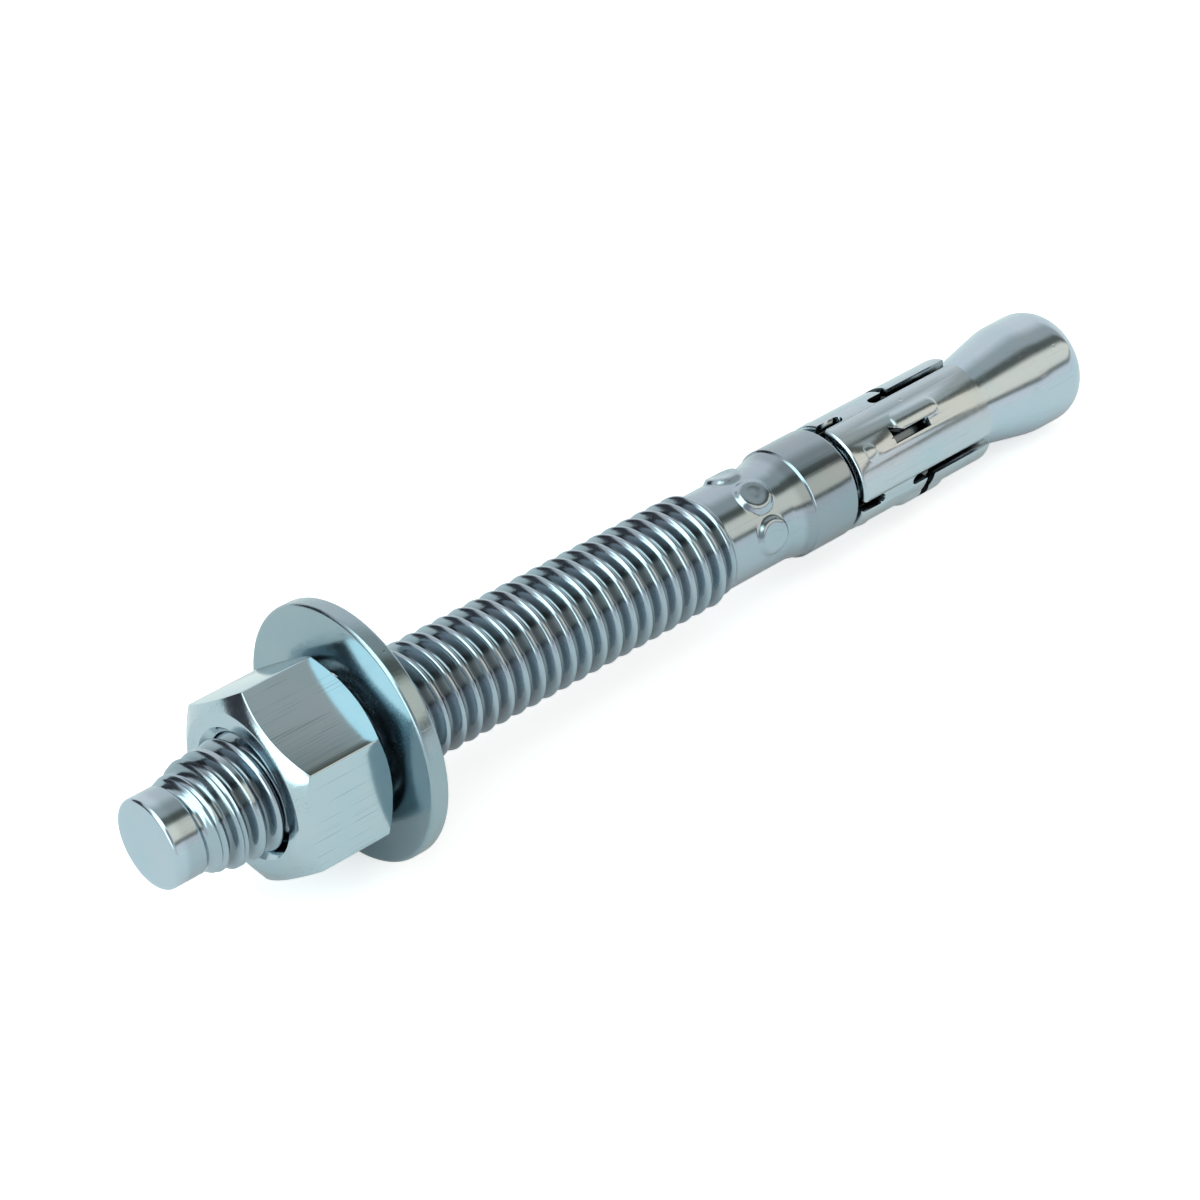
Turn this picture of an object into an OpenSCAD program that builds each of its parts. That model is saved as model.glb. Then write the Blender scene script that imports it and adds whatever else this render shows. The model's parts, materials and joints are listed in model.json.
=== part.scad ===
// Wedge expansion anchor: a bolt with a cone end, a rolled expansion sleeve, a washer and a hex nut.
// It lies at rest on the washer's rim and the cone, with the threaded point towards -X.
// Stations along the bolt run from the face of its point. Angles round the bolt start at the
// floor side, with 180 at the top and 270 at the front (-Y).

/* [Bolt] */
// Overall length of the bolt
bolt_l = 96.45; // [88:0.05:130]
// Outside diameter of the thread
thread_d = 9.35; // [8.6:0.05:9.6]
// Length of the full thread, which is rounded to whole turns
thread_l = 49; // [30:0.5:54]
// Pitch of the thread
thread_pitch = 1.5875; // [1.25:0.0125:2]
// Depth of the thread
thread_depth = 0.9; // [0.6:0.05:1]
// Width of the thread's flat crests and roots
thread_flat = 0.3; // [0.15:0.05:0.45]
// Length of the thread's run-out into the shank
runout_l = 0.9; // [0.4:0.1:1.6]
// Diameter of the plain point that takes the hammer blows
point_d = 7.25; // [6:0.05:8]
// Length of the plain point
point_l = 3; // [2:0.25:5]
// Edge radius of the point
point_edge = 0.35; // [0.1:0.05:0.8]
// Length of the taper from the point to the thread
lead_l = 2; // [1:0.1:3]
// Diameter of the plain shank, which takes up the length between the thread and the collar
shank_d = 8.3; // [7.4:0.1:8.6]

/* [Collar and neck] */
// Diameter of the collar that guides the bolt in its drilled hole
collar_d = 9.38; // [9:0.02:9.5]
// Length of the ramp from the shank to the collar
ramp_l = 1.8; // [1:0.1:2.4]
// Length of the collar behind the ramp
collar_l = 4.75; // [4:0.05:6]
// Height of the lip at the top of the ramp
lip_h = 0.16; // [0.05:0.01:0.25]
// Length of that lip
lip_l = 0.12; // [0.05:0.01:0.3]
// Edge radius of the collar towards the neck
collar_edge = 0.5; // [0.2:0.1:0.9]
// Diameter of the neck under the sleeve
neck_d = 6.8; // [6:0.1:7.2]
// Fillet between the collar and the neck
neck_fillet = 0.3; // [0.1:0.05:0.45]

/* [Cone] */
// Largest diameter of the cone
cone_d = 9.8; // [9.4:0.02:9.9]
// Half angle of the cone
cone_angle = 11.3; // [9:0.1:14]
// Radius of the hollow blend from the neck to the cone
cone_blend = 8; // [4:0.5:12]
// Radius of the crest where the cone turns into its land
cone_crest = 8; // [4:0.5:12]
// Length of the straight land at the largest diameter
cone_land = 2.05; // [0.5:0.05:3]
// Radius of the rounded end
end_round = 2.6; // [1.5:0.1:3.2]

/* [Shank marks] */
// Number of plain round pads raised from the shank
mark_count = 3; // [1:1:6]
// Diameter of a pad
mark_d = 3.4; // [2.4:0.1:3.6]
// Height of a pad above the shank
mark_h = 0.34; // [0.2:0.02:0.5]
// Distance from the ramp to the middle of the pads
mark_from_ramp = 2.8; // [2.2:0.1:3.6]
// Angle from pad to pad
mark_step = 51; // [51:1:60]
// Angle of the first pad
mark_first = 149; // [0:1:359]

/* [Expansion sleeve] */
// Outside diameter of the sleeve
sleeve_d = 9.34; // [9:0.02:9.5]
// Thickness of the sleeve's sheet
sleeve_t = 0.75; // [0.5:0.05:0.85]
// Length of the sleeve
sleeve_l = 15.1; // [14.4:0.1:16]
// Gap between the collar and the sleeve
sleeve_gap = 0.55; // [0.3:0.05:1]
// Free travel of the finger tips before they ride up the cone
sleeve_play = 2.1; // [2:0.05:4]
// Edge radius of the sleeve towards the collar
sleeve_edge = 0.3; // [0.1:0.05:0.35]
// Angle of the middle finger
finger_angle = 220; // [0:1:359]
// Angle from finger to finger
finger_pitch = 105; // [102:1:110]
// Width of the open seam opposite the middle finger
seam_w = 3.6; // [2:0.1:4.5]
// Width of the slots between the fingers
slot_w = 1; // [0.6:0.05:1.2]
// Length of the slots from the finger tips
slot_l = 9.4; // [8.5:0.1:10]
// Width of the relief that runs from each slot into the outer finger
relief_w = 3.2; // [2.4:0.1:3.6]
// Length of that relief along the sleeve
relief_l = 0.9; // [0.6:0.1:1.2]
// Angle from the middle of a slot to the middle of its relief
relief_turn = 19; // [15:1:20]
// Distance from the finger tips to the middle of the relief
relief_from_tip = 7.1; // [6:0.1:7.5]
// Corner radius of the middle finger's tip
tip_round = 0.9; // [0.3:0.1:1.5]
// Width of the notches in the edge towards the collar
notch_w = 1; // [0.6:0.1:1.4]
// Depth of those notches
notch_l = 2.4; // [1:0.1:2.8]
// Width of the slit down the middle of each finger
slit_w = 0.8; // [0.5:0.1:1.2]
// Length of the slit with its mouth
slit_l = 4.1; // [3.5:0.1:5]
// Width of the slit's mouth, which opens under the ridge
mouth_w = 1.6; // [1.3:0.1:2]
// Length of the mouth
mouth_l = 1.3; // [0.8:0.1:2]
// Distance from the collar edge of the sleeve to the slits
slit_from_edge = 4.7; // [4:0.1:5.2]

/* [Sleeve grips] */
// Width of the ball-ended ridge pressed out of each finger
grip_w = 3.2; // [2.8:0.1:3.6]
// Length of the ridge between the centres of its ball ends
grip_l = 3.5; // [2:0.1:4]
// Height of the ridge above the sleeve
grip_h = 0.26; // [0.18:0.02:0.26]
// Distance from the collar edge of the sleeve to the middle of the ridge
grip_from_edge = 7.9; // [7:0.1:8.5]
// Angle of the ridge from the middle of its finger
grip_turn = -14; // [-18:1:-12]
// Diameter of the ball that makes the small nub
nub_ball = 3; // [2.4:0.1:3.5]
// Height of the small nub above the sleeve
nub_h = 0.2; // [0.08:0.02:0.3]
// Distance from the collar edge of the sleeve to the nub
nub_from_edge = 1.9; // [1.4:0.1:2.2]

/* [Washer] */
// Outside diameter of the washer
washer_d = 21; // [20:0.1:24]
// Diameter of the washer's hole
washer_hole_d = 10.6; // [10.4:0.1:11.2]
// Thickness of the washer
washer_t = 1.6; // [1.2:0.1:2.2]
// Edge radius of the washer's rim
washer_edge = 0.35; // [0.1:0.05:0.5]
// Gap between the bottom of the hole and the thread that hangs in it
hang_gap = 0.05; // [0.03:0.01:0.2]

/* [Nut] */
// Width of the nut across its flats
nut_flats = 14.29; // [13:0.01:15]
// Height of the nut
nut_h = 8.56; // [6.5:0.02:9]
// Diameter where the chamfer meets the nut's end faces
nut_face_d = 13.5; // [12.2:0.1:14]
// Slope of the corner chamfers
nut_chamfer = 30; // [20:1:35]
// Clearance between the nut's bore and the thread
nut_clear = 0.05; // [0.02:0.01:0.1]
// Depth of the countersinks at the bore's ends
nut_sink = 0.6; // [0.2:0.1:1]
// Station of the nut's end towards the point
nut_station = 8.7; // [8:0.05:30]
// Angle of one corner of the nut
nut_turn = 230; // [0:1:359]
// Gap between the nut and the loose washer
nut_gap = 0.6; // [0.05:0.05:1]

/* [Hidden] */
$fn = 96;

// Zinc plated steel, and the slightly duller sheet of the sleeve
ZINC = [0.70, 0.74, 0.77];
SHEET = [0.64, 0.68, 0.71];
// Facets of a quarter turn in a rounded outline
ARC_STEPS = 8;
// Overshoot of cuts past the faces that they open
OVER = 1;
// Shift that lets a rounded corner cross the faces beside it at a small angle
EASE = 0.02;
// Angles of the top of the bolt, away from the floor, and of its side
TOP = 180;
SIDE = 90;
// Half turn that keeps the closing line of a round piece inside its carrier
TURNED = 180;

// Radii along the bolt
point_r = point_d / 2;
thread_r = thread_d / 2;
shank_r = shank_d / 2;
collar_r = collar_d / 2;
neck_r = neck_d / 2;
cone_r = cone_d / 2;

// Stations of the thread, from the point
thread_start = point_l + lead_l;
thread_turns = round(thread_l / thread_pitch);
thread_end = thread_start + thread_turns * thread_pitch;
shank_start = thread_end + runout_l;

// Stations of the cone, from the bolt's end
land_start = bolt_l - end_round - cone_land;
cone_end = land_start - cone_crest * sin(cone_angle);
cone_end_r = cone_r - cone_crest * (1 - cos(cone_angle));
cone_start_r = neck_r + cone_blend * (1 - cos(cone_angle));
cone_start = cone_end - (cone_end_r - cone_start_r) / tan(cone_angle);
blend_start = cone_start - cone_blend * sin(cone_angle);

// Sleeve, whose tips stop short of the cone
sleeve_r = sleeve_d / 2;
sleeve_in = sleeve_r - sleeve_t;
sleeve_end = cone_start + (sleeve_in - cone_start_r) / tan(cone_angle) - sleeve_play;
sleeve_start = sleeve_end - sleeve_l;
slot_root = sleeve_end - slot_l;
relief_station = sleeve_end - relief_from_tip;
slit_start = sleeve_start + slit_from_edge;
slit_end = slit_start + slit_l;
finger_angles = [for (i = [-1:1]) finger_angle + i * finger_pitch];
slot_turn = finger_pitch / 2;
seam_angle = finger_angle + 180;

// Stations of the collar, in front of the sleeve
collar_end = sleeve_start - sleeve_gap;
collar_start = collar_end - collar_l;
ramp_start = collar_start - ramp_l;
core_start = min(thread_end, ramp_start) - thread_flat;
mark_station = ramp_start - mark_from_ramp;

// Nut and washer; the bolt hangs in the washer's hole, so the washer stands high on it
nut_r = nut_flats / 2 / cos(30);
nut_bore_r = thread_r + nut_clear;
nut_end = nut_station + nut_h;
nut_chamfer_h = (nut_r - nut_face_d / 2) * tan(nut_chamfer);
washer_r = washer_d / 2;
washer_start = nut_end + nut_gap;
washer_end = washer_start + washer_t;
washer_lift = washer_hole_d / 2 - thread_r - hang_gap;

// Tilt at which the washer's rim and the rounded end both touch the floor
end_centre_r = cone_r - end_round;
end_centre = bolt_l - end_round;
rim_centre_r = washer_r - washer_lift - washer_edge;
rim_centre = washer_end - washer_edge;
span = end_centre - rim_centre;
rise = rim_centre_r - end_centre_r;
tilt = atan2(rise, span) + asin((washer_edge - end_round) / norm([span, rise]));

// Place of the point's face that sets the lowest point on the floor and the length midway on X
face_r = point_r - point_edge;
far_x = end_centre * cos(tilt) + end_centre_r * sin(tilt) + end_round;
near_x = point_edge * cos(tilt) - face_r * sin(tilt) - point_edge;
face_x = -(far_x + near_x) / 2;
face_z = end_centre * sin(tilt) + end_centre_r * cos(tilt) + end_round;

// Points along an arc round a centre
function arc(centre, r, from, to) =
    let (steps = max(2, ceil(ARC_STEPS * abs(to - from) / 90)))
    [for (i = [0:steps]) let (a = from + (to - from) * i / steps) centre + r * [cos(a), sin(a)]];

// Lays a piece that stands along +Z down on the floor, at the anchor's tilt
module lay() {
    translate([face_x, 0, face_z]) rotate([0, 90 + tilt, 0]) children();
}

// Extrudes an outline through the sleeve's wall; its X goes round the sleeve and its Y along it
module through_wall(angle) {
    rotate([0, 0, angle])
        translate([sleeve_in - OVER, 0, 0])
            rotate([90, 0, 90])
                linear_extrude(sleeve_t + 2 * OVER) children();
}

// Ball whose cap stands out of a round surface by a given height
module cap(angle, surface_r, station, ball, height) {
    rotate([0, 0, angle])
        translate([surface_r + height - ball / 2, 0, station]) rotate([0, 0, TURNED]) sphere(d = ball);
}

// Half section of the point and the thread, with the radius on X and the station on Y.
// Each turn of the thread stands as a ridge of its own, from crest to crest.
module thread_section() {
    half = thread_pitch / 2;
    flat = thread_flat / 2;
    root_r = thread_r - thread_depth;
    turn = [[thread_r, flat], [root_r, half - flat], [root_r, half + flat], [thread_r, thread_pitch - flat]];
    polygon(concat(
        [[0, 0]],
        arc([face_r, point_edge], point_edge, -90, 0),
        [[point_r, point_l], [thread_r, thread_start]],
        [for (i = [0:thread_turns - 1], place = turn) [place[0], thread_start + i * thread_pitch + place[1]]],
        [[thread_r, thread_end], [shank_r, shank_start], [0, shank_start]]
    ));
}

// Half section of the bolt behind the thread: the shank, the collar, the neck and the cone
module core_section() {
    shank = [[0, core_start], [shank_r, core_start], [shank_r, ramp_start]];
    lip = [[collar_r - lip_h, collar_start - lip_l], [collar_r, collar_start]];
    collar = arc([collar_r - collar_edge, collar_end - collar_edge], collar_edge, 0, 90);
    neck = concat(
        arc([neck_r + neck_fillet, collar_end + neck_fillet], neck_fillet, 270, 180),
        arc([neck_r + cone_blend, blend_start], cone_blend, 180, 180 - cone_angle)
    );
    cone = concat(
        arc([cone_r - cone_crest, land_start], cone_crest, -cone_angle, 0),
        arc([end_centre_r, end_centre], end_round, 0, 90),
        [[0, bolt_l]]
    );
    polygon(concat(shank, lip, collar, neck, cone));
}

// Round pad raised from the shank
module mark(angle) {
    intersection() {
        translate([0, 0, mark_station - mark_d]) cylinder(h = 2 * mark_d, r = shank_r + mark_h);
        rotate([0, 0, angle]) translate([0, 0, mark_station]) rotate([0, 90, 0])
            cylinder(h = shank_r + OVER, d = mark_d);
    }
}

// Turned bolt with its point, thread, shank, collar, neck and cone
module anchor_bolt() {
    color(ZINC) lay() {
        rotate_extrude() {
            thread_section();
            core_section();
        }
        for (i = [0:mark_count - 1]) mark(mark_first + i * mark_step);
    }
}

// Half section of the rolled sleeve, rounded at its outer edge towards the collar
module sleeve_section() {
    translate([sleeve_in, sleeve_start]) square([sleeve_t - sleeve_edge, sleeve_l]);
    translate([sleeve_in, sleeve_start + sleeve_edge]) square([sleeve_t, sleeve_l - sleeve_edge]);
    translate([sleeve_r - sleeve_edge, sleeve_start + sleeve_edge]) circle(r = sleeve_edge);
}

// Slot beside the middle finger, with its rounded root
module slot_outline() {
    root = slot_root + slot_w / 2;
    translate([0, root]) circle(d = slot_w);
    translate([-slot_w / 2, root]) square([slot_w, sleeve_end - root + OVER]);
}

// Relief across the root of an outer finger
module relief_outline() {
    translate([-relief_w / 2, relief_station - relief_l / 2]) square([relief_w, relief_l]);
}

// Corner taken off the middle finger's tip beside a slot
module tip_corner() {
    difference() {
        translate([slot_w / 2 - OVER, sleeve_end - tip_round]) square([tip_round + OVER, tip_round + OVER]);
        translate([slot_w / 2 + tip_round - EASE, sleeve_end - tip_round + EASE]) circle(r = tip_round);
    }
}

// Notch in the edge towards the collar
module notch_outline() {
    root = sleeve_start + notch_l - notch_w / 2;
    translate([0, root]) circle(d = notch_w);
    translate([-notch_w / 2, sleeve_start - OVER]) square([notch_w, root - sleeve_start + OVER]);
}

// Slit in a finger, with its mouth towards the collar
module slit_outline() {
    edge = slit_w / 2;
    polygon([
        [edge - mouth_w, slit_start], [edge, slit_start], [edge, slit_end],
        [-edge, slit_end], [-edge, slit_start + mouth_l]
    ]);
}

// Half section of a ball-ended ridge
module grip_section() {
    intersection() {
        union() {
            for (end = [0, grip_l]) translate([0, end]) circle(d = grip_w);
            translate([-grip_w / 2, 0]) square([grip_w, grip_l]);
        }
        translate([0, -grip_w]) square([grip_w, grip_l + 2 * grip_w]);
    }
}

// Ball-ended ridge pressed out of the sleeve
module grip(angle) {
    rotate([0, 0, angle])
        translate([sleeve_r + grip_h - grip_w / 2, 0, sleeve_start + grip_from_edge - grip_l / 2])
            rotate([0, 0, TURNED]) rotate_extrude() grip_section();
}

// Sleeve rolled from sheet: three fingers with ridges and slits, parted by slots, and an open seam
module expansion_sleeve() {
    color(SHEET) lay() difference() {
        union() {
            rotate([0, 0, seam_angle]) rotate_extrude() sleeve_section();
            for (angle = finger_angles) {
                grip(angle + grip_turn);
                cap(angle, sleeve_r, sleeve_start + nub_from_edge, nub_ball, nub_h);
            }
        }
        translate([0, 0, sleeve_start - OVER]) cylinder(h = sleeve_l + 2 * OVER, r = sleeve_in);
        for (angle = finger_angles) through_wall(angle) slit_outline();
        for (side = [-1, 1]) {
            angle = finger_angle + side * slot_turn;
            through_wall(angle) slot_outline();
            through_wall(angle + side * relief_turn) relief_outline();
            through_wall(angle) mirror([side > 0 ? 1 : 0, 0]) tip_corner();
            through_wall(angle) notch_outline();
        }
        through_wall(seam_angle)
            translate([-seam_w / 2, sleeve_start - OVER]) square([seam_w, sleeve_l + 2 * OVER]);
    }
}

// Half section of the washer, with rounded rim edges
module washer_section() {
    polygon(concat(
        [[washer_hole_d / 2, washer_start]],
        arc([washer_r - washer_edge, washer_start + washer_edge], washer_edge, -90, 0),
        arc([washer_r - washer_edge, washer_end - washer_edge], washer_edge, 0, 90),
        [[washer_hole_d / 2, washer_end]]
    ));
}

// Plain washer that hangs the bolt in its hole
module washer() {
    color(ZINC) lay()
        rotate([0, 0, TOP]) translate([washer_lift, 0, 0])
            rotate([0, 0, SIDE]) rotate_extrude() washer_section();
}

// Half section of the nut's envelope, chamfered at both ends
module nut_envelope() {
    polygon([
        [0, nut_station],
        [nut_face_d / 2, nut_station],
        [nut_r, nut_station + nut_chamfer_h],
        [nut_r, nut_end - nut_chamfer_h],
        [nut_face_d / 2, nut_end],
        [0, nut_end]
    ]);
}

// Half section of the nut's bore, countersunk at both ends
module nut_bore() {
    polygon([
        [0, nut_station - OVER],
        [nut_bore_r + nut_sink + OVER, nut_station - OVER],
        [nut_bore_r, nut_station + nut_sink],
        [nut_bore_r, nut_end - nut_sink],
        [nut_bore_r + nut_sink + OVER, nut_end + OVER],
        [0, nut_end + OVER]
    ]);
}

// Hex nut, chamfered on both sides
module hex_nut() {
    color(ZINC) lay() difference() {
        intersection() {
            rotate([0, 0, nut_turn])
                translate([0, 0, nut_station]) cylinder(h = nut_h, r = nut_r, $fn = 6);
            rotate_extrude() nut_envelope();
        }
        rotate_extrude() nut_bore();
    }
}

anchor_bolt();
expansion_sleeve();
washer();
hex_nut();
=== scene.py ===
"""Dresses the expansion anchor: a rolled thread, a drawn hex nut, a stamped washer and a slotted sleeve.

Pieces are modelled in millimetres along the bolt: +Z runs from the face of the point to the cone, +X is the
floor side and angles run from there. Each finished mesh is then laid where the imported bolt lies.
"""

from __future__ import annotations

import json
import logging
import math
from dataclasses import dataclass
from enum import Enum
from typing import Any, ClassVar, Iterable

import bmesh
import bpy
from bmesh.types import BMEdge, BMesh, BMVert
from mathutils import Matrix, Vector

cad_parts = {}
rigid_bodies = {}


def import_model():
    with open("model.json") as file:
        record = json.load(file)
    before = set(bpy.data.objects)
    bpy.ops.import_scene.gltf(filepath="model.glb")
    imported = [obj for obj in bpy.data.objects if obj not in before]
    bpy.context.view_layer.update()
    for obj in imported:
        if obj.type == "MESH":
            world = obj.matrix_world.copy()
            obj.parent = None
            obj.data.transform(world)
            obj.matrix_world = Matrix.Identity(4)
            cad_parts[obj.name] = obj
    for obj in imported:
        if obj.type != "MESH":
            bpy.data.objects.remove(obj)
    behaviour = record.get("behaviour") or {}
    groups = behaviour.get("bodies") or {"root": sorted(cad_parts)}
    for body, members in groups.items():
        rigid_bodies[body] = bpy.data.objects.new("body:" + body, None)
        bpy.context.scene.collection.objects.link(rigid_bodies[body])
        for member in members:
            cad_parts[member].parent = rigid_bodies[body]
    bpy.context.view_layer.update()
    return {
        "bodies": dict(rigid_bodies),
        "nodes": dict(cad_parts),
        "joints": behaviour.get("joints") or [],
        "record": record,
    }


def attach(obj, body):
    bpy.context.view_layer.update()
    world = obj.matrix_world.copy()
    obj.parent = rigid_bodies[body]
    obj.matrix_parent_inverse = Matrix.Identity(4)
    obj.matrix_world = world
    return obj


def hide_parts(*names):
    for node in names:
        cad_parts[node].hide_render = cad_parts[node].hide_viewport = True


LOG = logging.getLogger("anchor")
MM = 0.001
FULL_TURN = 2 * math.pi
WELD = 0.002

Colour = tuple[float, float, float]
Outline = list[tuple[float, float]]


def smooth(value: float, low: float, high: float) -> float:
    """Rises smoothly from 0 at low to 1 at high."""
    t = min(1.0, max(0.0, (value - low) / (high - low)))
    return t * t * (3 - 2 * t)


def arc(station: float, radius: float, size: float, start: float, end: float, steps: int = 6) -> Outline:
    """Points of a round stretch in a half section.

    Args:
        station: Station of the arc's centre along the bolt.
        radius: Distance of that centre from the axis.
        size: Radius of the arc.
        start: First angle in degrees, from the outward direction towards the cone.
        end: Last angle in degrees.
        steps: Number of segments.

    Returns:
        Pairs of station and radius.
    """
    turns = [math.radians(start + (end - start) * i / steps) for i in range(steps + 1)]
    return [(station + size * math.sin(a), radius + size * math.cos(a)) for a in turns]


@dataclass(frozen=True)
class Lay:
    """How the anchor lies: the matrix from the bolt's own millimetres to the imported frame."""

    matrix: Matrix

    @classmethod
    def from_frame(cls, frame: dict[str, Any]) -> "Lay":
        """Reads the bolt's axis from the nut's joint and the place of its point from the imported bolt.


        Returns:
            The bolt's lay.
        """
        joint = next(j for j in frame["joints"] if j["name"] == "nut_turn")
        along = Vector(joint["axis"]).normalized()
        floor_side = (along * along.z - Vector((0, 0, 1))).normalized()
        pivot = Vector(joint["pos_m"])
        point = min(v.co.dot(along) for v in frame["nodes"]["anchor_bolt"].data.vertices)
        face = pivot + along * (point - pivot.dot(along))
        turn = Matrix((floor_side, along.cross(floor_side), along)).transposed()
        return cls(Matrix.Translation(face) @ turn.to_4x4() @ Matrix.Scale(MM, 4))

    def box(self, node: bpy.types.Object) -> tuple[Vector, Vector]:
        """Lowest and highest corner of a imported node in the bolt's millimetres.

        Args:
            node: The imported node's object.

        Returns:
            The two corners.
        """
        inverse = self.matrix.inverted()
        corners = list(zip(*(inverse @ v.co for v in node.data.vertices)))
        return Vector(min(c) for c in corners), Vector(max(c) for c in corners)


class Socket:
    """A shader value that takes part in Python expressions."""

    def __init__(self, board: "Board", link: bpy.types.NodeSocket) -> None:
        """Wraps a node's output on its board."""
        self.board = board
        self.link = link

    def _math(self, operation: str, *values: Any) -> "Socket":
        """Adds one Math node."""
        return self.board.node("ShaderNodeMath", {"operation": operation}, dict(enumerate(values)))

    def __add__(self, other: Any) -> "Socket":
        """Sum."""
        return self._math("ADD", self, other)

    __radd__ = __add__

    def __sub__(self, other: Any) -> "Socket":
        """Difference."""
        return self._math("SUBTRACT", self, other)

    def __rsub__(self, other: Any) -> "Socket":
        """Difference from a number."""
        return self._math("SUBTRACT", other, self)

    def __mul__(self, other: Any) -> "Socket":
        """Product."""
        return self._math("MULTIPLY", self, other)

    __rmul__ = __mul__

    def __neg__(self) -> "Socket":
        """Opposite value."""
        return self._math("MULTIPLY", self, -1.0)

    def step(self, low: float, high: float) -> "Socket":
        """Rises smoothly from 0 to 1 between two values."""
        settings = {"interpolation_type": "SMOOTHSTEP"}
        return self.board.node("ShaderNodeMapRange", settings, {0: self, 1: low, 2: high, 3: 0.0, 4: 1.0})

    def angle(self, other: "Socket") -> "Socket":
        """Angle whose tangent is this value over another."""
        return self._math("ARCTAN2", self, other)

    def largest(self, other: Any) -> "Socket":
        """The larger of two values."""
        return self._math("MAXIMUM", self, other)


class Board:
    """A node tree and the one way in which nodes are added to it."""

    def __init__(self, tree: bpy.types.NodeTree) -> None:
        """Empties a tree to build on."""
        tree.nodes.clear()
        self.tree = tree

    def node(self, kind: str, settings: dict[str, Any], inputs: dict[Any, Any], output: Any = 0) -> Socket:
        """Adds a node.

        Args:
            kind: The node's type.
            settings: Its settings; a ramp's stops come as "stops".
            inputs: Values or links by socket name or number.
            output: Name or number of the output that is wanted.

        Returns:
            That output.
        """
        node = self.tree.nodes.new(kind)
        for name, value in settings.items():
            if name == "stops":
                self._set_stops(node.color_ramp, value)
            else:
                setattr(node, name, value)
        for name, value in inputs.items():
            if isinstance(value, Socket):
                self.tree.links.new(value.link, node.inputs[name])
            else:
                node.inputs[name].default_value = value
        return Socket(self, node.outputs[output] if len(node.outputs) else node.inputs[0])

    @staticmethod
    def _set_stops(ramp: bpy.types.ColorRamp, stops: Iterable[tuple[float, Colour]]) -> None:
        """Gives a ramp its places and colours."""
        while len(ramp.elements) > 1:
            ramp.elements.remove(ramp.elements[-1])
        for index, (place, colour) in enumerate(stops):
            stop = ramp.elements[0] if index == 0 else ramp.elements.new(place)
            stop.position = place
            stop.color = (*colour, 1.0)

    def blend(self, factor: Socket, low: Any, high: Any) -> Socket:
        """Mixes two colours."""
        return self.node("ShaderNodeMix", {"data_type": "RGBA"}, {"Factor": factor, 6: low, 7: high}, 2)

    def noise(self, coords: Socket, scale: float, detail: float = 2.0, roughness: float = 0.5) -> Socket:
        """Noise over the given coordinates."""
        inputs = {"Vector": coords, "Scale": scale, "Detail": detail, "Roughness": roughness}
        return self.node("ShaderNodeTexNoise", {}, inputs, "Fac")

    def stretch(self, coords: Socket, sizes: tuple[float, float, float]) -> Socket:
        """Coordinates multiplied along each axis."""
        return self.node("ShaderNodeVectorMath", {"operation": "MULTIPLY"}, {0: coords, 1: sizes}, "Vector")


class Grain(Enum):
    """How tooling left its marks, as the pattern's stretch across and along the bolt."""

    TURNED = (0.5, 0.5, 7.0)
    DRAWN = (6.0, 6.0, 0.25)
    ROLLED = (2.5, 2.5, 2.5)
    TUMBLED = (4.0, 4.0, 4.0)


@dataclass(frozen=True)
class PaintedShade:
    """A stretch of a piece with painted shade: its colour darkens towards black below a deep radius, fading out
    by a high one.
    """

    first: float
    last: float
    deep: float
    high: float
    share: float

    FADE: ClassVar[float] = 0.4

    def mask(self, station: Socket, radius: Socket) -> Socket:
        """How much painted shade, as a share of black, lies at a station and a radius."""
        begun = station.step(self.first - self.FADE, self.first + self.FADE)
        ended = station.step(self.last - self.FADE, self.last + self.FADE)
        return begun * (1.0 - ended) * (1.0 - radius.step(self.deep, self.high)) * self.share


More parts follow.
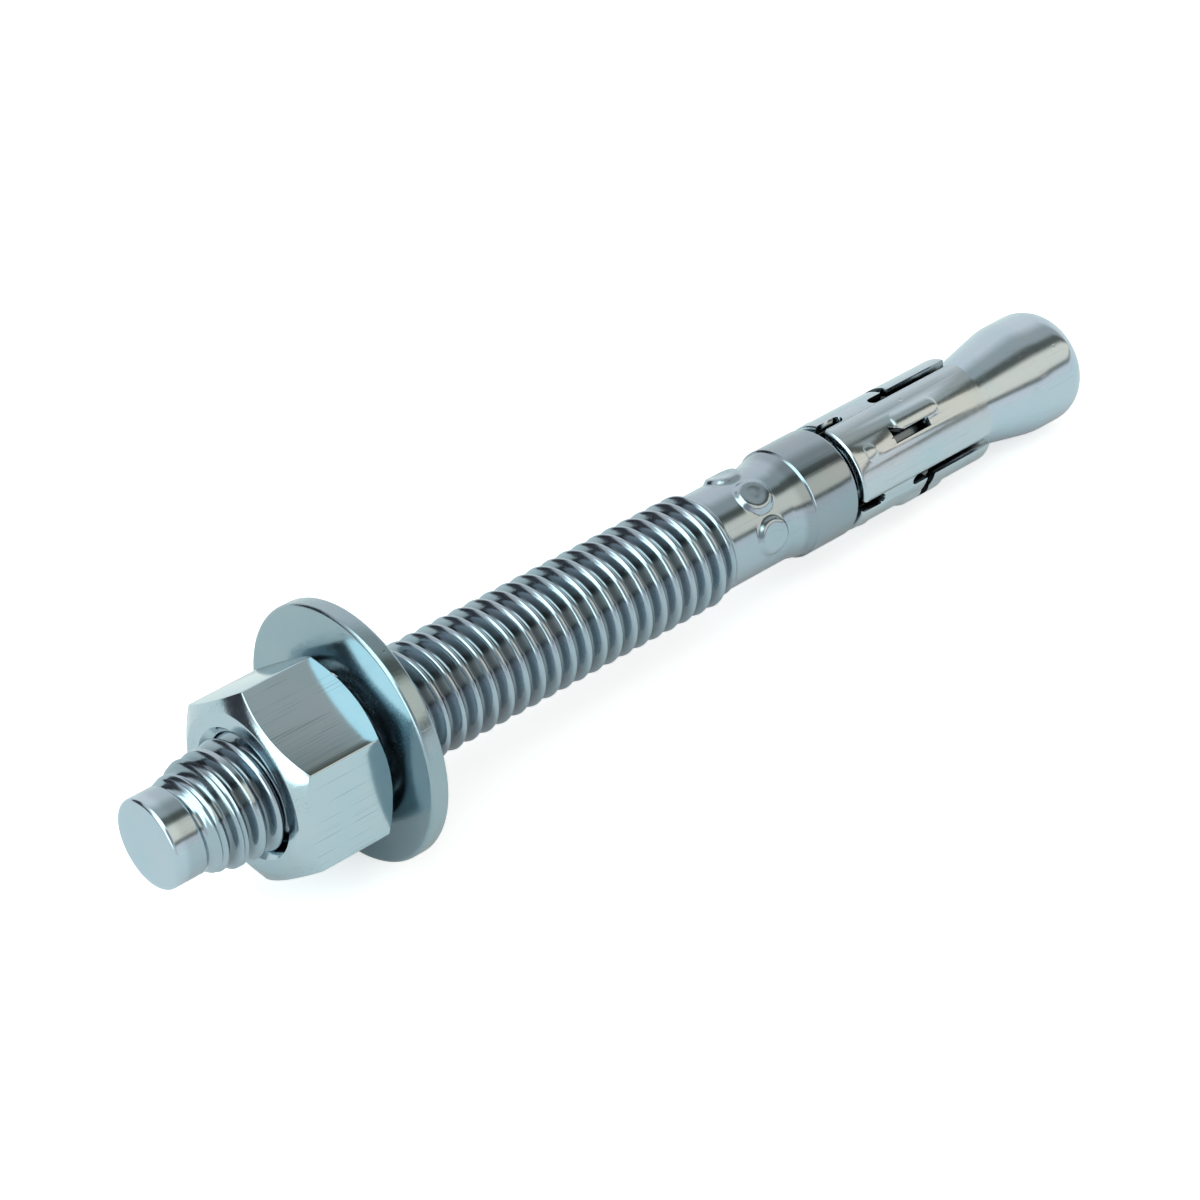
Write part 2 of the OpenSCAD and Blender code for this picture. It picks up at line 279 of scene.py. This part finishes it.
@dataclass(frozen=True)
class ZincFinish:
    """Zinc plating on steel: a bluish bright coat with a faint lilac cast, tool marks, small dents and painted
    shade in the listed stretches.
    """

    name: str
    tint: Colour
    cast: Colour
    roughness: float
    spread: float
    grain: Grain
    grain_depth: float
    dent_depth: float
    scratches: float
    # Painted shade: stretches and recesses whose colour is darkened towards black, standing in for shade.
    painted_shade: tuple[PaintedShade, ...] = ()

    TONE_SCALE: ClassVar[float] = 0.22
    MOTTLE_SCALE: ClassVar[float] = 1.3
    MOTTLE_SHARE: ClassVar[float] = 0.3
    MOTTLE_SPREAD: ClassVar[float] = 0.6
    SMOOTHEST: ClassVar[float] = 0.06
    WORN: ClassVar[float] = 0.55
    SCRATCH_STRETCH: ClassVar[tuple[float, float, float]] = (8.0, 8.0, 0.06)
    SCRATCH_PATCHES: ClassVar[float] = 0.3
    SCRATCH_DEPTH: ClassVar[float] = 0.4
    SCRATCH_ROUGHNESS: ClassVar[float] = 0.1
    DENT_SCALE: ClassVar[float] = 0.55
    DENT_PATCHES: ClassVar[float] = 0.4

    def material(self, lay: Lay) -> bpy.types.Material:
        """Builds the finish.

        Args:
            lay: The bolt's lay, which the tool marks follow.

        Returns:
            The material.
        """
        material = bpy.data.materials.new(self.name)
        material.use_nodes = True
        board = Board(material.node_tree)
        coords = self._local(board, lay)
        tone = board.noise(coords, self.TONE_SCALE, 3.0).step(0.3, 0.7)
        mottle = board.noise(coords, self.MOTTLE_SCALE, 4.0, 0.6)
        marks = board.noise(board.stretch(coords, self.grain.value), 1.0, 4.0, 0.6)
        scratch = self._scratches(board, coords)
        dents = self._dents(board, coords)
        patches = tone * (1 - self.MOTTLE_SHARE) + mottle * self.MOTTLE_SHARE
        colour = board.blend(patches, (*self.tint, 1.0), (*self.cast, 1.0))
        worn = tuple(c * self.WORN for c in self.tint)
        colour = board.blend(scratch * self.scratches, colour, (*worn, 1.0))
        # Painted shade: the colour is darkened towards black in the listed stretches and recesses.
        colour = self._paint_shade(board, coords, colour)
        mottled = (mottle - 0.5) * (self.MOTTLE_SPREAD * self.spread)
        rough = self.roughness + (marks - 0.5) * self.spread + mottled
        cuts = scratch * (self.SCRATCH_DEPTH * self.grain_depth)
        height = marks * self.grain_depth - dents * self.dent_depth - cuts
        bump = board.node("ShaderNodeBump", {}, {"Strength": 1.0, "Distance": MM, "Height": height}, "Normal")
        shader = board.node(
            "ShaderNodeBsdfPrincipled",
            {},
            {
                "Base Color": colour,
                "Metallic": 1.0,
                "Roughness": (rough + scratch * self.SCRATCH_ROUGHNESS).largest(self.SMOOTHEST),
                "Normal": bump,
            },
        )
        board.node("ShaderNodeOutputMaterial", {}, {"Surface": shader})
        return material

    @staticmethod
    def _local(board: Board, lay: Lay) -> Socket:
        """Object coordinates turned into the bolt's own millimetres."""
        place, turn, size = lay.matrix.decompose()
        coords = board.node("ShaderNodeTexCoord", {}, {}, "Object")
        inputs = {"Vector": coords, "Location": place, "Rotation": turn.to_euler(), "Scale": size}
        return board.node("ShaderNodeMapping", {"vector_type": "TEXTURE"}, inputs)

    def _paint_shade(self, board: Board, coords: Socket, colour: Socket) -> Socket:
        """Paints shade: darkens the colour towards black in each listed stretch.

        Args:
            board: The material's board.
            coords: The bolt's own millimetres.
            colour: The plating's colour.

        Returns:
            The colour with its painted shade.
        """
        station = board.node("ShaderNodeSeparateXYZ", {}, {"Vector": coords}, "Z")
        across = board.stretch(coords, (1.0, 1.0, 0.0))
        radius = board.node("ShaderNodeVectorMath", {"operation": "LENGTH"}, {0: across}, "Value")
        # Each stretch of painted shade blends the colour towards black.
        for shade_band in self.painted_shade:
            colour = board.blend(shade_band.mask(station, radius), colour, (0.0, 0.0, 0.0, 1.0))
        return colour

    def _scratches(self, board: Board, coords: Socket) -> Socket:
        """Thin scratches along the bolt, in patches, where a long noise is lowest."""
        line = 1.0 - board.noise(board.stretch(coords, self.SCRATCH_STRETCH), 1.0, 1.0).step(0.28, 0.40)
        return line * board.noise(coords, self.SCRATCH_PATCHES, 1.0).step(0.35, 0.6)

    def _dents(self, board: Board, coords: Socket) -> Socket:
        """Sparse shallow dents from handling in bulk."""
        inputs = {"Vector": coords, "Scale": self.DENT_SCALE}
        far = board.node("ShaderNodeTexVoronoi", {}, inputs, "Distance")
        return (1.0 - far.step(0.02, 0.1)) * board.noise(coords, self.DENT_PATCHES, 1.0).step(0.5, 0.6)


class Shape:
    """A mesh under construction in the bolt's millimetres."""

    def __init__(self) -> None:
        """Starts an empty mesh."""
        self.bm: BMesh = bmesh.new()

    def wire(self, outline: Outline, closed: bool = False) -> None:
        """Draws a half section as a wire.

        Args:
            outline: Pairs of station and radius.
            closed: Whether the wire runs back to its start.
        """
        verts = [self.bm.verts.new((radius, 0, station)) for station, radius in outline]
        ends = verts[1:] + verts[:1] if closed else verts[1:]
        for first, second in zip(verts, ends):
            self.bm.edges.new((first, second))

    def spin(self, steps: int, turns: int = 1, pitch: float = 0.0) -> None:
        """Turns the wire round the bolt, into a ring or, with a pitch, into a helix.

        Args:
            steps: Steps in one turn.
            turns: Number of turns.
            pitch: Advance along the bolt in one turn.
        """
        bmesh.ops.spin(
            self.bm,
            geom=self.bm.verts[:] + self.bm.edges[:],
            cent=(0, 0, 0),
            axis=(0, 0, 1),
            dvec=(0, 0, pitch / steps),
            angle=FULL_TURN,
            steps=steps,
            use_merge=pitch == 0,
            use_duplicate=False,
        )
        turn = self.bm.verts[:] + self.bm.edges[:] + self.bm.faces[:]
        for index in range(1, turns):
            made = bmesh.ops.duplicate(self.bm, geom=turn)["geom"]
            verts = [g for g in made if isinstance(g, BMVert)]
            bmesh.ops.translate(self.bm, verts=verts, vec=(0, 0, pitch * index))
        bmesh.ops.remove_doubles(self.bm, verts=self.bm.verts[:], dist=WELD)

    def radius(self, vert: BMVert) -> float:
        """Distance of a vertex from the axis."""
        return math.hypot(vert.co.x, vert.co.y)

    def set_radius(self, vert: BMVert, radius: float) -> None:
        """Moves a vertex to a distance from the axis."""
        factor = radius / self.radius(vert)
        vert.co.x *= factor
        vert.co.y *= factor

    def cut(self, station: float, keep_above: bool) -> None:
        """Cuts the mesh square at a station and keeps one side."""
        bmesh.ops.bisect_plane(
            self.bm,
            geom=self.bm.verts[:] + self.bm.edges[:] + self.bm.faces[:],
            dist=1e-5,
            plane_co=(0, 0, station),
            plane_no=(0, 0, 1),
            clear_outer=not keep_above,
            clear_inner=keep_above,
        )

    def even_ring(self, station: float, steps: int) -> list[BMEdge]:
        """Squares up the open ring that a cut left, with one vertex at each step of a turn.

        Args:
            station: Station of the cut.
            steps: Steps in one turn.

        Returns:
            The ring's edges.
        """
        verts = [v for v in self.bm.verts if v.is_boundary and abs(v.co.z - station) < WELD]
        size = max(self.radius(v) for v in verts)
        for vert in verts:
            turn = round(math.atan2(vert.co.y, vert.co.x) * steps / FULL_TURN) * FULL_TURN / steps
            vert.co = (size * math.cos(turn), size * math.sin(turn), station)
        bmesh.ops.remove_doubles(self.bm, verts=verts, dist=WELD)
        return [e for e in self.bm.edges if e.is_boundary and abs(e.verts[0].co.z - station) < WELD]

    def sweep(self, ring: list[BMEdge], outline: Outline) -> None:
        """Extrudes an open ring through a half section and closes its end.

        Args:
            ring: The ring's edges.
            outline: Pairs of station and radius.
        """
        for station, radius in outline:
            made = bmesh.ops.extrude_edge_only(self.bm, edges=ring)["geom"]
            for vert in (g for g in made if isinstance(g, BMVert)):
                self.set_radius(vert, radius)
                vert.co.z = station
            ring = [g for g in made if isinstance(g, BMEdge) and g.is_boundary]
        bmesh.ops.contextual_create(self.bm, geom=ring)

    def bevel(self, edges: list[BMEdge], width: float, segments: int) -> None:
        """Rounds edges."""
        bmesh.ops.bevel(
            self.bm,
            geom=edges,
            offset=width,
            offset_type="OFFSET",
            segments=segments,
            profile=0.5,
            affect="EDGES",
            clamp_overlap=True,
            material=-1,
        )

    def creases(self, degrees: float) -> list[BMEdge]:
        """Edges that turn by more than an angle."""
        limit = math.radians(degrees)
        return [e for e in self.bm.edges if e.is_manifold and e.calc_face_angle() > limit]

    def finish(self, name: str, lay: Lay, crease: float = 40.0) -> bpy.types.Object:
        """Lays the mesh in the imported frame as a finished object.

        Args:
            name: The piece's name.
            lay: The bolt's lay.
            crease: Angle in degrees above which an edge stays sharp.

        Returns:
            The object.
        """
        bmesh.ops.recalc_face_normals(self.bm, faces=self.bm.faces[:])
        for face in self.bm.faces:
            face.smooth = True
        for edge in self.creases(crease):
            edge.smooth = False
        self.bm.transform(lay.matrix)
        mesh = bpy.data.meshes.new(name)
        self.bm.to_mesh(mesh)
        self.bm.free()
        piece = bpy.data.objects.new(name, mesh)
        bpy.context.scene.collection.objects.link(piece)
        return piece


@dataclass
class Piece:
    """One dressed piece of the anchor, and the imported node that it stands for."""

    lay: Lay
    packed: bpy.types.Object

    node: ClassVar[str]
    body: ClassVar[str]
    slot: ClassVar[str]
    name: ClassVar[str]
    finish: ClassVar[ZincFinish]

    def shape(self) -> Shape:
        """Models the piece."""
        raise NotImplementedError

    def build(self) -> bpy.types.Object:
        """Models, dresses and hangs the piece on its body.

        Returns:
            The finished object.
        """
        piece = self.shape().finish(self.name, self.lay)
        piece.data.materials.append(self.finish.material(self.lay))
        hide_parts(self.node)
        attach(piece, self.body)
        return piece


@dataclass
class Bolt(Piece):
    """The bolt: a plain point, a rolled thread, the shank with its pads, the collar, the neck and the cone."""

    steps: int = 120
    pitch: float = 1.5875
    thread_r: float = 4.675
    thread_depth: float = 0.93
    crest_flatness: float = 0.8
    profile_steps: int = 16
    seam_w: float = 0.14
    seam_depth: float = 0.5
    thread_start: float = 5.0
    thread_end: float = 54.2
    runout: float = 0.9
    cut_margin: float = 0.2
    lead_margin: float = 0.3
    lead_step: float = 0.45
    point_r: float = 3.625
    plain_l: float = 2.2
    point_edge: float = 0.35
    point_rings: tuple[float, ...] = (1.4, 0.8)
    face_ring_r: float = 1.6
    shank_r: float = 4.15
    shank_ring: float = 0.1
    pad_h: float = 0.34
    pad_r: float = 1.74
    pad_top_r: float = 1.22
    dish_r: float = 1.15
    dish_h: float = 0.14
    dish_flat_r: float = 0.35
    pad_from_ramp: float = 2.8
    pad_angles: tuple[int, ...] = (149, 200, 251)
    lip_h: float = 0.16
    lip_l: float = 0.12
    lip_ring: float = 0.06
    lip_ring_drop: float = 0.02
    collar_r: float = 4.69
    collar_l: float = 4.75
    collar_edge: float = 0.5
    ramp_l: float = 1.8
    neck_r: float = 3.4
    neck_fillet: float = 0.3
    sleeve_gap: float = 0.55
    cone_r: float = 4.9
    cone_angle: float = 11.3
    cone_bend: float = 8.0
    cone_land: float = 2.05
    end_round: float = 2.6
    end_ring_r: float = 1.0
    sleeve_start: float = 0.0

    node = "anchor_bolt"
    body = "bolt"
    slot = "zinc_bolt"
    name = "threaded_bolt"
    finish = ZincFinish(
        name="bright_zinc_bolt",
        tint=(0.43, 0.55, 0.625),
        cast=(0.48, 0.55, 0.625),
        roughness=0.15,
        spread=0.10,
        grain=Grain.TURNED,
        grain_depth=0.004,
        dent_depth=0.02,
        scratches=0.15,
        # Painted shade: point, thread and shank dimmed evenly, thread roots darker still, the collar dimmer,
        # and the neck under the sleeve nearly black.
        painted_shade=(
            PaintedShade(first=1.0, last=62.5, deep=6.0, high=7.0, share=0.18),
            PaintedShade(first=4.5, last=54.5, deep=3.75, high=4.6, share=0.50),
            PaintedShade(first=62.5, last=69.0, deep=6.0, high=7.0, share=0.36),
            PaintedShade(first=69.0, last=83.2, deep=3.3, high=4.0, share=0.75),
        ),
    )

    def shape(self) -> Shape:
        """Models the bolt as one closed mesh, out from both ends of its thread."""
        shape = Shape()
        first_cut = self.plain_l
        last_cut = self.thread_end + self.runout + self.cut_margin
        begin = first_cut - self.pitch - self.lead_margin
        turns = math.ceil((last_cut - begin) / self.pitch) + 1
        shape.wire(self._thread_outline(begin))
        shape.spin(self.steps, turns, self.pitch)
        for vert in shape.bm.verts:
            phase = (vert.co.z - begin) / self.pitch - math.atan2(vert.co.y, vert.co.x) / FULL_TURN
            shape.set_radius(vert, self._thread_radius(shape.radius(vert), vert.co.z, phase % 1))
        shape.cut(first_cut, keep_above=True)
        shape.cut(last_cut, keep_above=False)
        shape.sweep(shape.even_ring(first_cut, self.steps), self._point_outline())
        shape.sweep(shape.even_ring(last_cut, self.steps), self._shank_outline(last_cut))
        self._raise_pads(shape)
        return shape

    def _thread_outline(self, begin: float) -> Outline:
        """One pitch of the rolled thread, from root to root."""
        outline = []
        for i in range(self.profile_steps + 1):
            wave = math.tanh(self.crest_flatness * math.cos(FULL_TURN * i / self.profile_steps))
            height = 0.5 - 0.5 * wave / math.tanh(self.crest_flatness)
            station = begin + self.pitch * i / self.profile_steps
            outline.append((station, self.thread_r - self.thread_depth * (1 - height)))
        return outline

    def _thread_radius(self, radius: float, station: float, phase: float) -> float:
        """Radius of the thread with its lead at the point and its run-out at the shank.

        The first turns are rolled short, so their crests keep a seam between two lips.

        Args:
            radius: Radius of the full thread there.
            station: Station along the bolt.
            phase: Place in the pitch, from root to root.

        Returns:
            The radius of the rolled surface.
        """
        rise = min(1.0, max(0.0, (station - self.plain_l - 0.2) / (self.thread_start - self.plain_l)))
        first_cut = smooth(station, self.plain_l + 0.1, self.plain_l + 0.5)
        depth = self.lead_step * first_cut + (1 - self.lead_step) * rise
        led = self.point_r + (self.thread_r - self.point_r) * rise - (self.thread_r - radius) * depth
        seam = max(0.0, 1 - ((phase - 0.5) / self.seam_w) ** 2)
        rolled_out = smooth(station, self.thread_start - 1, self.thread_start + 3)
        led -= self.seam_depth * seam * depth * (1 - rolled_out)
        fade = smooth(station, self.thread_end - 0.3, self.thread_end + self.runout)
        return led + (self.shank_r - led) * fade

    def _point_outline(self) -> Outline:
        """Half section from the thread's lead to the face of the point."""
        edge = arc(self.point_edge, self.point_r - self.point_edge, self.point_edge, 0, -90)
        rings = [(station, self.point_r) for station in self.point_rings]
        return [*rings, *edge, (0.0, self.face_ring_r)]

    def _shank_outline(self, start: float) -> Outline:
        """Half section from the shank to the flat middle of the cone's end."""
        length = self.lay.box(self.packed)[1].z
        collar_end = self.sleeve_start - self.sleeve_gap
        collar_start = collar_end - self.collar_l
        ramp_start = collar_start - self.ramp_l
        rings = round((ramp_start - start) / self.shank_ring)
        shank = [(start + (ramp_start - start) * (i + 1) / rings, self.shank_r) for i in range(rings)]
        edge = self.collar_edge
        collar = [
            (collar_start - self.lip_l - self.lip_ring, self.collar_r - self.lip_h - self.lip_ring_drop),
            (collar_start - self.lip_l, self.collar_r - self.lip_h),
            (collar_start, self.collar_r),
            (collar_start + self.lip_ring, self.collar_r),
            (collar_start + 0.3 * self.collar_l, self.collar_r),
            (collar_start + 0.6 * self.collar_l, self.collar_r),
            *arc(collar_end - edge, self.collar_r - edge, edge, 0, 90),
        ]
        fillet = self.neck_fillet
        lean = math.radians(self.cone_angle)
        land = length - self.end_round - self.cone_land
        cone_end = land - self.cone_bend * math.sin(lean)
        drop = self.cone_bend * (1 - math.cos(lean))
        cone_start = cone_end - (self.cone_r - drop - (self.neck_r + drop)) / math.tan(lean)
        blend_start = cone_start - self.cone_bend * math.sin(lean)
        neck = [
            *arc(collar_end + fillet, self.neck_r + fillet, fillet, -90, -180),
            (collar_end + 0.3 * (blend_start - collar_end), self.neck_r),
            (collar_end + 0.7 * (blend_start - collar_end), self.neck_r),
            *arc(blend_start, self.neck_r + self.cone_bend, self.cone_bend, 180, 180 - self.cone_angle),
        ]
        rise = self.cone_r - 2 * drop - self.neck_r
        middle = [
            (cone_start + (cone_end - cone_start) * t, self.neck_r + drop + rise * t) for t in (0.33, 0.66)
        ]
        cone = [
            *middle,
            *arc(land, self.cone_r - self.cone_bend, self.cone_bend, -self.cone_angle, 0),
            *arc(length - self.end_round, self.cone_r - self.end_round, self.end_round, 0, 90, 12),
            (length, self.end_ring_r),
        ]
        return shank + collar + neck + cone

    def _raise_pads(self, shape: Shape) -> None:
        """Raises the round pads from the shank, each with a rim round a shallow dish."""
        collar_start = self.sleeve_start - self.sleeve_gap - self.collar_l
        middle = collar_start - self.ramp_l - self.pad_from_ramp
        for vert in shape.bm.verts:
            if abs(vert.co.z - middle) > self.pad_r or abs(shape.radius(vert) - self.shank_r) > WELD:
                continue
            for angle in self.pad_angles:
                turn = math.atan2(vert.co.y, vert.co.x) - math.radians(angle)
                round_way = self.shank_r * (turn - FULL_TURN * round(turn / FULL_TURN))
                off = math.hypot(vert.co.z - middle, round_way)
                if off < self.pad_r:
                    lift = self.pad_h * (1 - smooth(off, self.pad_top_r, self.pad_r))
                    dish = self.dish_h * (1 - smooth(off, self.dish_flat_r, self.dish_r))
                    shape.set_radius(vert, self.shank_r + lift - dish)


@dataclass
class Sleeve(Piece):
    """The expansion sleeve: rolled sheet with fingers between slots, slits, pressed ridges and an open seam."""

    edge: float = 0.09
    crease: float = 35.0
    flatness: float = 0.6

    node = "expansion_sleeve"
    body = "sleeve"
    slot = "zinc_sheet"
    name = "slotted_sleeve"
    finish = ZincFinish(
        name="rolled_zinc_sheet",
        tint=(0.43, 0.54, 0.60),
        cast=(0.50, 0.55, 0.59),
        roughness=0.18,
        spread=0.12,
        grain=Grain.ROLLED,
        grain_depth=0.006,
        dent_depth=0.03,
        scratches=0.3,
        # Painted shade: the inside of the sheet and the inner part of its cut edges are darkened nearly to
        # black.
        painted_shade=(PaintedShade(first=69.6, last=83.2, deep=4.15, high=4.58, share=0.92),),
    )

    def shape(self) -> Shape:
        """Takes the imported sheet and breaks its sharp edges."""
        shape = Shape()
        shape.bm.from_mesh(self.packed.data)
        shape.bm.transform(self.lay.matrix.inverted())
        bmesh.ops.remove_doubles(shape.bm, verts=shape.bm.verts[:], dist=WELD)
        bmesh.ops.dissolve_limit(
            shape.bm,
            angle_limit=math.radians(self.flatness),
            verts=shape.bm.verts[:],
            edges=shape.bm.edges[:],
        )
        shape.bevel(shape.creases(self.crease), self.edge, 2)
        return shape


@dataclass
class Washer(Piece):
    """The stamped washer, with its rim rounded by the punch."""

    steps: int = 128
    rim: float = 0.35
    hole_r: float = 5.3
    hole_edge: float = 0.18

    node = "washer"
    body = "loose_washer"
    slot = "zinc_washer"
    name = "stamped_washer"
    finish = ZincFinish(
        name="satin_zinc_washer",
        tint=(0.29, 0.39, 0.44),
        cast=(0.33, 0.41, 0.45),
        roughness=0.19,
        spread=0.10,
        grain=Grain.TUMBLED,
        grain_depth=0.006,
        dent_depth=0.02,
        scratches=0.0,
    )

    def shape(self) -> Shape:
        """Turns the washer's section round its own centre, which stands above the bolt's."""
        low, high = self.lay.box(self.packed)
        radius = (high.y - low.y) / 2
        rim, hole = self.rim, self.hole_edge
        shape = Shape()
        shape.wire(
            [
                *arc(low.z + rim, radius - rim, rim, -90, 0),
                *arc(high.z - rim, radius - rim, rim, 0, 90),
                (high.z, (radius + self.hole_r) / 2),
                *arc(high.z - hole, self.hole_r + hole, hole, 90, 180, 3),
                *arc(low.z + hole, self.hole_r + hole, hole, 180, 270, 3),
                (low.z, (radius + self.hole_r) / 2),
            ],
            closed=True,
        )
        shape.spin(self.steps)
        bmesh.ops.translate(shape.bm, verts=shape.bm.verts[:], vec=((low.x + high.x) / 2, 0, 0))
        return shape


@dataclass
class Nut(Piece):
    """The hex nut, drawn bright on its flats and chamfered on both sides."""

    steps: int = 96
    crease: float = 20.0
    flats: float = 14.29
    face_r: float = 6.55
    chamfer: float = 33.0
    bore_r: float = 4.725
    sink: float = 0.6
    turn: float = 230.0
    edge: float = 0.1

    node = "hex_nut"
    body = "nut"
    slot = "zinc_nut"
    name = "drawn_nut"
    finish = ZincFinish(
        name="drawn_zinc_nut",
        tint=(0.43, 0.55, 0.61),
        cast=(0.48, 0.56, 0.61),
        roughness=0.13,
        spread=0.08,
        grain=Grain.DRAWN,
        grain_depth=0.003,
        dent_depth=0.012,
        scratches=0.55,
    )

    def shape(self) -> Shape:
        """Turns the nut's section and pushes its outside into the hexagon."""
        low, high = self.lay.box(self.packed)
        mid, half = (low.z + high.z) / 2, (high.z - low.z) / 2
        corner = self.flats / 2 / math.cos(math.pi / 6)
        bore = [(half - self.sink, self.bore_r), (half, self.bore_r + self.sink)]
        face_mid = (self.bore_r + self.sink + self.face_r) / 2
        side = [*bore, (half, face_mid), (half, self.face_r), (half, corner)]
        shape = Shape()
        shape.wire(side + [(-s, r) for s, r in reversed(side)], closed=True)
        shape.spin(self.steps)
        for vert in shape.bm.verts:
            if shape.radius(vert) > corner - WELD:
                self._press(shape, vert, half)
        shape.bm.normal_update()
        inside = self.face_r - WELD
        corners = [e for e in shape.creases(self.crease) if shape.radius(e.verts[0]) > inside]
        shape.bevel(corners, self.edge, 3)
        turned = Matrix.Translation((0, 0, mid)) @ Matrix.Rotation(math.radians(self.turn), 4, "Z")
        shape.bm.transform(turned)
        return shape

    def _press(self, shape: Shape, vert: BMVert, half: float) -> None:
        """Moves an outer vertex to the hexagon, on the curve where its flat meets the chamfer.

        Args:
            shape: The nut's mesh.
            vert: The vertex.
            half: Half the nut's height.
        """
        sixth = math.pi / 3
        off = math.atan2(vert.co.y, vert.co.x) % sixth - sixth / 2
        size = self.flats / 2 / math.cos(off)
        shape.set_radius(vert, size)
        drop = (size - self.face_r) * math.tan(math.radians(self.chamfer))
        vert.co.z = math.copysign(half - drop, vert.co.z)


@dataclass(frozen=True)
class Studio:
    """A pale floor under a studio sky: a lamp over the point, a grey ceiling over the cone, a dark corner."""

    floor_size: float = 3.0
    floor_colour: Colour = (0.77, 0.78, 0.79)
    floor_glow: float = 0.60
    floor_sheen: float = 0.05
    white: Colour = (1.0, 1.0, 1.0)
    warm: Colour = (1.22, 1.10, 0.92)
    grey: Colour = (0.14, 0.145, 0.125)
    haze: Colour = (0.53, 0.56, 0.54)
    line: Colour = (0.22, 0.22, 0.20)
    pale: Colour = (0.80, 0.82, 0.84)
    room: Colour = (0.40, 0.42, 0.44)
    lamp: Colour = (2.7, 3.2, 3.1)
    dark: Colour = (0.06, 0.06, 0.07)
    side_edge: tuple[float, float] = (-0.15, 0.15)
    end_edge: tuple[float, float] = (-0.88, -0.80)
    azimuth: float = -42.75
    elevation: float = 41.3
    distance: float = 0.287
    lens: float = 110.8
    sensor: float = 36.0
    clip_start: float = 0.01
    target: tuple[float, float, float] = (-0.05, 0.0, 44.0)

    def sky(self) -> None:
        """Lights the scene by bands of the sky, by their angle round the bolt from the front."""
        world = bpy.data.worlds.new("studio_sky")
        world.use_nodes = True
        bpy.context.scene.world = world
        board = Board(world.node_tree)
        direction = board.node("ShaderNodeTexCoord", {}, {}, "Generated")
        x, y, z = (board.node("ShaderNodeSeparateXYZ", {}, {"Vector": direction}, axis) for axis in "XYZ")
        turn = z.angle(-y) * (1 / FULL_TURN) + 0.5
        far = [
            (-180, self.white), (14, self.white), (18, self.line), (23, self.line),
            (28, self.warm), (60, self.warm), (68, self.grey), (82, self.grey),
            (91, self.haze), (112, self.haze), (135, self.white), (180, self.white),
        ]
        near = [
            (-180, self.pale), (18, self.pale), (30, self.room), (60, self.room), (72, self.lamp),
            (110, self.lamp), (124, self.pale), (142, self.pale), (152, self.dark), (180, self.dark),
        ]
        end = [
            (-180, self.pale), (2, self.pale), (6, self.lamp),
            (140, self.lamp), (148, self.dark), (180, self.dark),
        ]
        sides = [
            board.node(
                "ShaderNodeValToRGB",
                {"stops": [(0.5 + angle / 360, colour) for angle, colour in bands]},
                {"Fac": turn},
                "Color",
            )
            for bands in (far, near, end)
        ]
        bands = board.blend(x.step(*self.side_edge), sides[1], sides[0])
        bands = board.blend(x.step(*self.end_edge), sides[2], bands)
        camera = board.node("ShaderNodeLightPath", {}, {}, "Is Camera Ray")
        colour = board.blend(camera, bands, (1.0, 1.0, 1.0, 1.0))
        light = board.node("ShaderNodeBackground", {}, {"Color": colour, "Strength": 1.0})
        board.node("ShaderNodeOutputWorld", {}, {"Surface": light})

    def floor(self) -> None:
        """Lays the floor, which glows to the camera and in the metal, and keeps a faint shadow."""
        bm = bmesh.new()
        bmesh.ops.create_grid(bm, x_segments=1, y_segments=1, size=self.floor_size)
        mesh = bpy.data.meshes.new("floor")
        bm.to_mesh(mesh)
        bm.free()
        floor = bpy.data.objects.new("floor", mesh)
        bpy.context.scene.collection.objects.link(floor)
        material = bpy.data.materials.new("pale_floor")
        material.use_nodes = True
        board = Board(material.node_tree)
        matt = board.node("ShaderNodeBsdfDiffuse", {}, {"Color": (*self.floor_colour, 1.0)})
        camera, glossy = (
            board.node("ShaderNodeLightPath", {}, {}, ray) for ray in ("Is Camera Ray", "Is Glossy Ray")
        )
        strength = camera * self.floor_glow + glossy * self.floor_sheen
        glow = board.node("ShaderNodeEmission", {}, {"Strength": strength})
        both = board.node("ShaderNodeAddShader", {}, {0: matt, 1: glow})
        board.node("ShaderNodeOutputMaterial", {}, {"Surface": both})
        mesh.materials.append(material)

    def camera(self, lay: Lay) -> None:
        """Sets the camera at the photograph's viewing angle.

        Args:
            lay: The bolt's lay, on whose axis the camera looks.
        """
        target = lay.matrix @ Vector(self.target)
        turn, rise = math.radians(self.azimuth), math.radians(self.elevation)
        back = Vector((math.sin(turn) * math.cos(rise), -math.cos(turn) * math.cos(rise), math.sin(rise)))
        data = bpy.data.cameras.new("camera")
        data.sensor_fit = "HORIZONTAL"
        data.sensor_width = self.sensor
        data.lens = self.lens
        data.clip_start = self.clip_start
        camera = bpy.data.objects.new("camera", data)
        camera.location = target + back * self.distance
        camera.rotation_euler = (-back).to_track_quat("-Z", "Y").to_euler()
        bpy.context.scene.collection.objects.link(camera)
        bpy.context.scene.camera = camera

    def build(self, lay: Lay) -> None:
        """Sets the sky, the floor, the camera and the plain view transform."""
        self.camera(lay)
        self.sky()
        self.floor()
        bpy.context.scene.view_settings.view_transform = "Standard"


def main() -> None:
    """Builds the studio and every piece of the anchor."""
    logging.basicConfig(level=logging.INFO, format="%(name)s: %(message)s")
    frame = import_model()
    lay = Lay.from_frame(frame)
    Studio().build(lay)
    nodes = frame["nodes"]
    sleeve_start = lay.box(nodes[Sleeve.node])[0].z
    pieces: list[Piece] = [
        Bolt(lay, nodes[Bolt.node], sleeve_start=sleeve_start),
        Sleeve(lay, nodes[Sleeve.node]),
        Washer(lay, nodes[Washer.node]),
        Nut(lay, nodes[Nut.node]),
    ]
    for piece in pieces:
        made = piece.build()
        LOG.info("%s: %d faces, rides on %s", made.name, len(made.data.polygons), piece.body)


if __name__ == "__main__":
    main()
